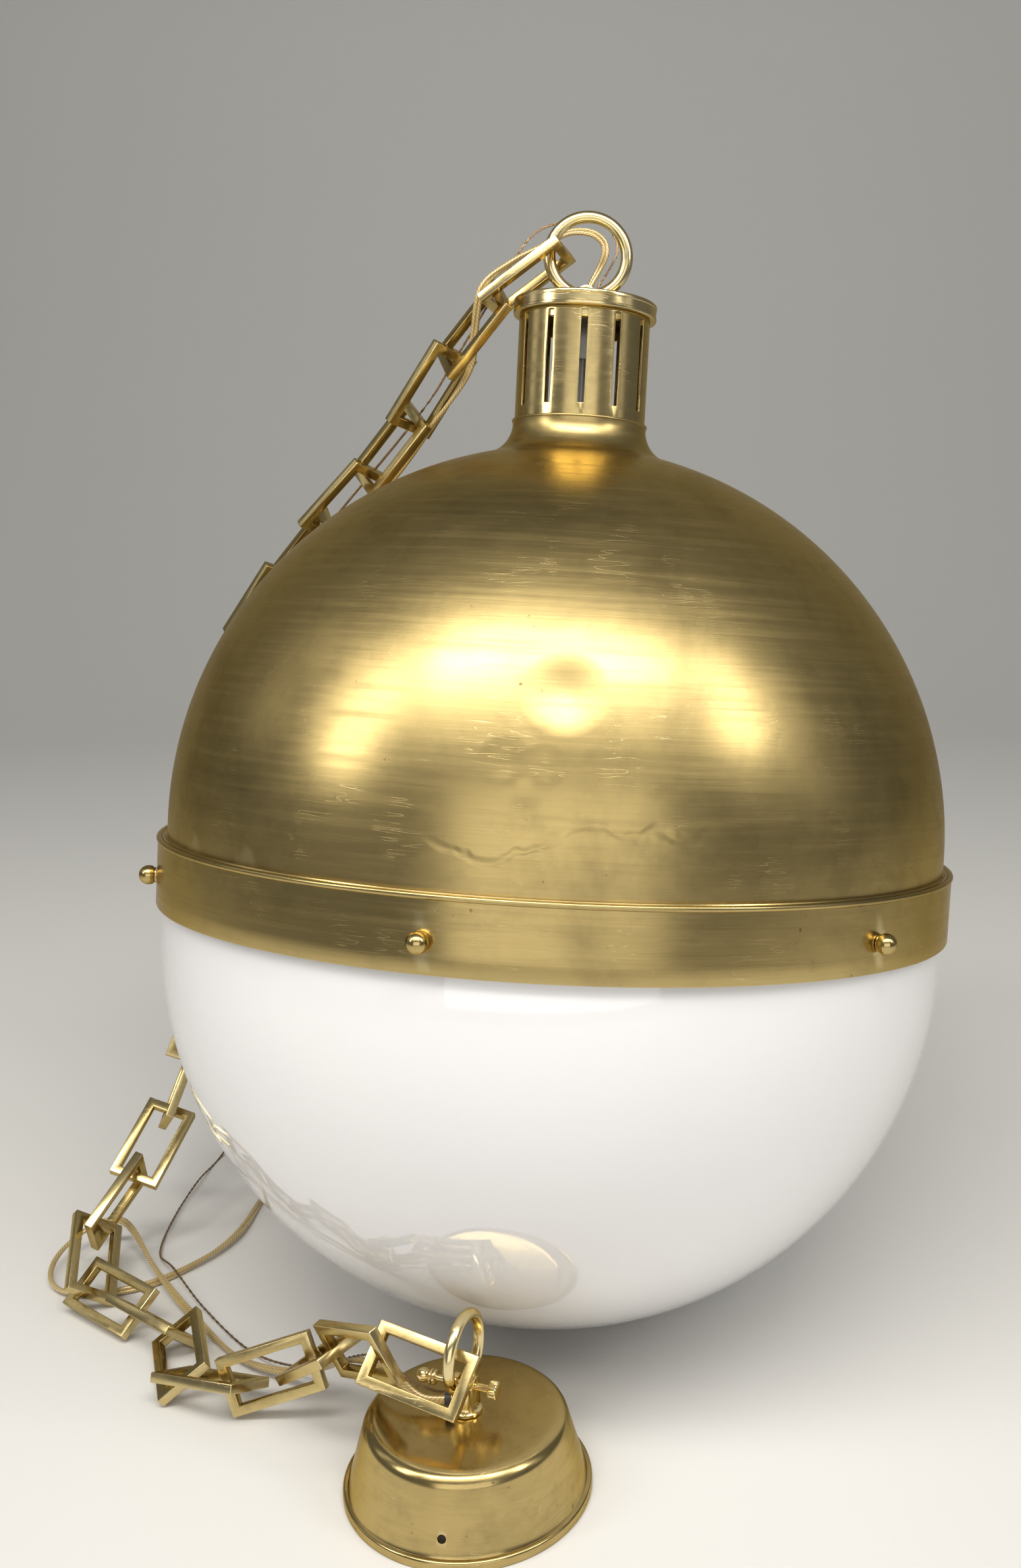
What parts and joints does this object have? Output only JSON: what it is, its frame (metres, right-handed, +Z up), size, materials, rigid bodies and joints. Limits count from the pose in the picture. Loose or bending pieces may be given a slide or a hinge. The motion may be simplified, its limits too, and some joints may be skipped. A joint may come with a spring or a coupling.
{
  "type": "globe chandelier",
  "caption": "Large globe chandelier: brass dome over an opal glass bowl, slotted collar and hanging ring, with its chain, cord and round ceiling canopy lying beside it.",
  "frame": {"origin": "centre of the canopy's ceiling face, on the floor that the lamp stands on", "axes": "+Z up, out of the canopy's ceiling face; -Y towards the viewer of the picture; +X to the viewer's right"},
  "size_m": [0.6135, 0.5528, 0.707],
  "materials": {
    "dome_brass": "spun and aged, satin",
    "band_brass": "aged, satin",
    "gasket": "matt",
    "opal_glass": "glossy opal white",
    "screw_brass": "polished",
    "collar_brass": "aged, satin",
    "bushing": "matt",
    "ring_brass": "worn bright",
    "zinc_steel": "zinc plated",
    "inner_brass": "satin",
    "porcelain": "glazed",
    "bulb_glass": "frosted",
    "bulb_cap": "plain",
    "cord_sheath": "clear gold sheath over stranded wire",
    "bare_copper": "bare, dull",
    "chain_brass": "aged, worn bright on the edges",
    "canopy_brass": "spun and aged, satin",
    "dark_steel": "blackened"
  },
  "bodies": {
    "lamp": {"dome_shell": "dome_brass", "equator_band": "band_brass", "band_nuts": "band_brass", "glass_gasket": "gasket", "vent_collar": "collar_brass", "neck_cap": "collar_brass", "cord_bushing": "bushing", "canopy_bushing": "bushing", "top_yoke": "ring_brass", "top_pin": "ring_brass", "canopy_yoke": "ring_brass", "canopy_pin": "ring_brass", "pipe_coupling": "zinc_steel", "centre_pipe": "zinc_steel", "dome_spider": "zinc_steel", "spider_nut": "zinc_steel", "cluster_locknut": "zinc_steel", "canopy_washer": "zinc_steel", "canopy_nut": "zinc_steel", "cluster_body": "inner_brass", "cluster_cover": "inner_brass", "socket_shells": "inner_brass", "socket_cores": "porcelain", "inner_lead": "cord_sheath", "lamp_cord": "cord_sheath", "ground_wire": "bare_copper", "chain_top_run": "chain_brass", "chain_back_run": "chain_brass", "chain_side_run": "chain_brass", "chain_floor_run": "chain_brass"},
    "glass": {"glass_bowl": "opal_glass"},
    "hanging_ring": {"top_ring": "ring_brass"},
    "canopy_ring": {"canopy_ring": "ring_brass"},
    "canopy": {"canopy_cup": "canopy_brass", "crossbar": "zinc_steel", "side_screws": "dark_steel"},
    "screw_1": {"thumb_screw_1": "screw_brass"},
    "screw_2": {"thumb_screw_2": "screw_brass"},
    "screw_3": {"thumb_screw_3": "screw_brass"},
    "screw_4": {"thumb_screw_4": "screw_brass"},
    "screw_5": {"thumb_screw_5": "screw_brass"},
    "screw_6": {"thumb_screw_6": "screw_brass"},
    "bulb_1": {"bulb_glass_1": "bulb_glass", "bulb_base_1": "bulb_cap"},
    "bulb_2": {"bulb_glass_2": "bulb_glass", "bulb_base_2": "bulb_cap"},
    "bulb_3": {"bulb_glass_3": "bulb_glass", "bulb_base_3": "bulb_cap"}
  },
  "joints": [
    {"name": "glass_drop", "type": "slide", "parent": "lamp", "child": "glass", "axis": [0.0636, 0.1736, 0.9828], "range_m": [-0.005, 0]},
    {"name": "hanging_ring_tilt", "type": "hinge", "parent": "lamp", "child": "hanging_ring", "pos_m": [0.07315, 0.29344, 0.65433], "axis": [0.0112, -0.9848, 0.1733], "range_deg": [0, 8]},
    {"name": "canopy_ring_tilt", "type": "hinge", "parent": "lamp", "child": "canopy_ring", "pos_m": [0, 0, 0.064], "axis": [0.9397, -0.342, 0], "range_deg": [-8, 0]},
    {"name": "canopy_turn", "type": "hinge", "parent": "lamp", "child": "canopy", "pos_m": [0, 0, 0], "axis": [0, 0, 1], "continuous": true},
    {"name": "screw_1_out", "type": "slide", "parent": "lamp", "child": "screw_1", "axis": [-0.961, -0.2549, 0.1072], "range_m": [0, 0.003]},
    {"name": "screw_2_out", "type": "slide", "parent": "lamp", "child": "screw_2", "axis": [-0.2475, -0.9513, 0.1841], "range_m": [0, 0.003]},
    {"name": "screw_3_out", "type": "slide", "parent": "lamp", "child": "screw_3", "axis": [0.7136, -0.6964, 0.0769], "range_m": [0, 0.003]},
    {"name": "screw_4_out", "type": "slide", "parent": "lamp", "child": "screw_4", "axis": [0.961, 0.2549, -0.1072], "range_m": [0, 0.003]},
    {"name": "screw_5_out", "type": "slide", "parent": "lamp", "child": "screw_5", "axis": [0.2475, 0.9513, -0.1841], "range_m": [0, 0.003]},
    {"name": "screw_6_out", "type": "slide", "parent": "lamp", "child": "screw_6", "axis": [-0.7136, 0.6964, -0.0769], "range_m": [0, 0.003]},
    {"name": "bulb_1_out", "type": "slide", "parent": "lamp", "child": "bulb_1", "axis": [0.5104, -0.4495, -0.7331], "range_m": [0, 0.03]},
    {"name": "bulb_2_out", "type": "slide", "parent": "lamp", "child": "bulb_2", "axis": [-0.0559, 0.5, -0.8642], "range_m": [0, 0.03]},
    {"name": "bulb_3_out", "type": "slide", "parent": "lamp", "child": "bulb_3", "axis": [-0.6006, -0.4495, -0.6612], "range_m": [0, 0.03]}
  ]
}
